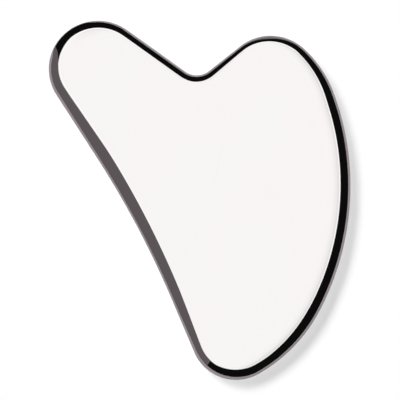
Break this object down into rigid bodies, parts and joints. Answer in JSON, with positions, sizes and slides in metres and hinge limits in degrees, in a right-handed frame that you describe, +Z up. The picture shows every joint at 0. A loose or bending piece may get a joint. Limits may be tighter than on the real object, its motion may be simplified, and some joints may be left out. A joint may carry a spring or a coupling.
{
  "type": "gua sha scraper",
  "caption": "Heart-shaped mirror-polished steel gua sha plate with a rounded rim, unequal lobes with a jaw notch, a shallow hollow flank and a narrow tip.",
  "frame": {"origin": "under the middle of the plate's outer box, on the back face that the plate lies on", "axes": "+Z up out of the front face, +Y along the length from the narrow tip to the small lobe, +X across the width from the hollow flank to the belly"},
  "size_m": [0.0548, 0.088, 0.0045],
  "materials": {
    "polished_stainless_steel": "stainless steel, mirror polished all over"
  },
  "bodies": {
    "root": {"scraper_plate": "polished_stainless_steel"}
  },
  "joints": []
}
